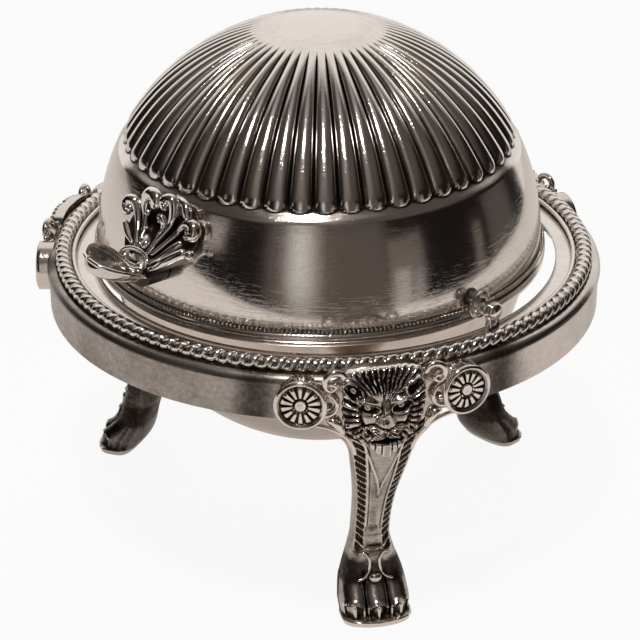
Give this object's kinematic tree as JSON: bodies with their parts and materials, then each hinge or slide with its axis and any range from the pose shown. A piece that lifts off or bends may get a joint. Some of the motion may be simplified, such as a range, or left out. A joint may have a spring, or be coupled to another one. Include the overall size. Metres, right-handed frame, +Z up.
{
  "type": "caviar dish",
  "caption": "Round revolving caviar dish: a fluted dome with a shell handle rolls back under a fixed bowl, on a ring with lion-mask legs.",
  "frame": {"origin": "on the table, under the middle of the bounding box", "axes": "+Z up, -Y towards the side with the handle, X along the dome's pivots"},
  "size_m": [0.2108, 0.224, 0.1953],
  "materials": {
    "ring_silver": "worn silver plate with fine scratches",
    "dome_silver": "bright worn silver plate",
    "cast_silver": "cast silver plate with dark patina in the recesses",
    "bowl_silver": "worn silver plate",
    "pivot_silver": "polished turned silver plate",
    "glass": "clear pressed glass"
  },
  "bodies": {
    "base": {"bowl": "bowl_silver", "bowl_rim": "bowl_silver", "flange_wire_back": "ring_silver", "flange_wire_front": "ring_silver", "leg_back": "cast_silver", "leg_left": "cast_silver", "leg_right": "cast_silver", "pivot_collar_left": "pivot_silver", "pivot_collar_right": "pivot_silver", "pivot_lug_left": "pivot_silver", "pivot_lug_right": "pivot_silver", "pivot_nut_left": "pivot_silver", "pivot_nut_right": "pivot_silver", "pivot_pin_left": "pivot_silver", "pivot_pin_right": "pivot_silver", "ring_band": "ring_silver", "ring_flange": "ring_silver", "rope_border": "ring_silver"},
    "dome": {"dome_shell": "dome_silver", "dome_rim": "dome_silver", "dome_beading_front": "dome_silver", "dome_beading_back": "dome_silver", "handle": "cast_silver"},
    "drainer": {"drainer": "bowl_silver"},
    "glass_dish": {"glass_dish": "glass"}
  },
  "joints": [
    {"name": "dome_roll", "type": "hinge", "parent": "base", "child": "dome", "pos_m": [0, -0.00087, 0.114], "axis": [-1, 0, 0], "range_deg": [0, 150]},
    {"name": "drainer_lift", "type": "slide", "parent": "base", "child": "drainer", "axis": [0, 0, 1], "range_m": [0, 0.012]},
    {"name": "dish_lift", "type": "slide", "parent": "drainer", "child": "glass_dish", "axis": [0, 0, 1], "range_m": [0, 0.02]}
  ]
}
